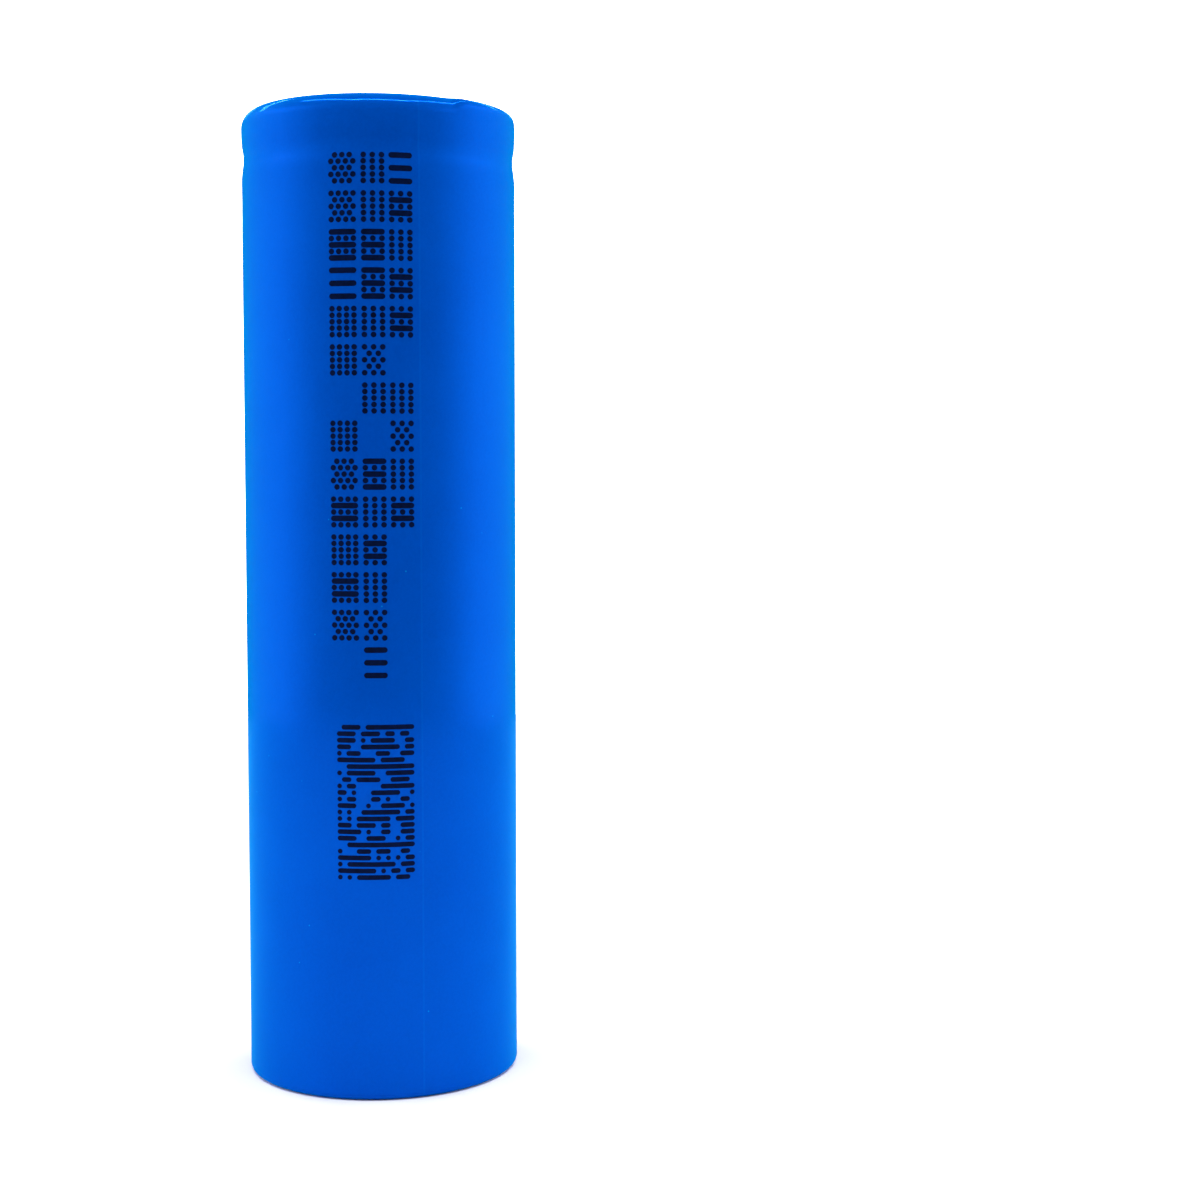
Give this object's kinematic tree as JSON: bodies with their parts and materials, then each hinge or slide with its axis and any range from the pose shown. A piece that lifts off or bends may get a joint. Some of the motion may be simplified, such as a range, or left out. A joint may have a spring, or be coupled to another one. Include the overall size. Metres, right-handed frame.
{
  "type": "cylindrical battery cell",
  "caption": "Cylindrical rechargeable cell: shrink-sleeved steel can, recessed flat positive terminal, crimped cap assembly with a lifting pressure disc, and a wound electrode roll.",
  "frame": {"origin": "centre of the base, on the plane that the cell stands on", "axes": "+Z along the cell's axis, from the negative base to the positive terminal; +X and +Y across the cell"},
  "size_m": [0.0184, 0.0184, 0.065],
  "materials": {
    "sleeve_film": "gloss",
    "washer_fibre": "matte",
    "plated_steel": "satin",
    "gasket_plastic": "gloss",
    "cap_metal": "satin",
    "ptc_polymer": "matte",
    "aluminium_sheet": "satin",
    "spacer_plastic": "matte",
    "insulator_fibre": "matte",
    "separator_film": "matte",
    "cathode_coating": "matte",
    "anode_coating": "matte",
    "tape_film": "gloss",
    "nickel_strip": "satin",
    "print_ink": "matte"
  },
  "bodies": {
    "cell": {"shrink_sleeve": "sleeve_film", "terminal_washer": "washer_fibre", "steel_can": "plated_steel", "sealing_gasket": "gasket_plastic", "terminal_cap": "cap_metal", "ptc_ring": "ptc_polymer", "vent_disc": "aluminium_sheet", "cid_spacer": "spacer_plastic", "cid_plate": "aluminium_sheet", "upper_insulator": "insulator_fibre", "inner_separator": "separator_film", "cathode_sheet": "cathode_coating", "outer_separator": "separator_film", "anode_sheet": "anode_coating", "roll_tape": "tape_film", "positive_tab": "aluminium_sheet", "positive_tab_tape": "tape_film", "negative_tab": "nickel_strip", "lower_insulator": "insulator_fibre"},
    "vent_centre": {"vent_disc_centre": "aluminium_sheet"}
  },
  "joints": [
    {"name": "vent_lift", "type": "slide", "parent": "cell", "child": "vent_centre", "axis": [0, 0, 1], "range_m": [0, 0.00045]}
  ]
}
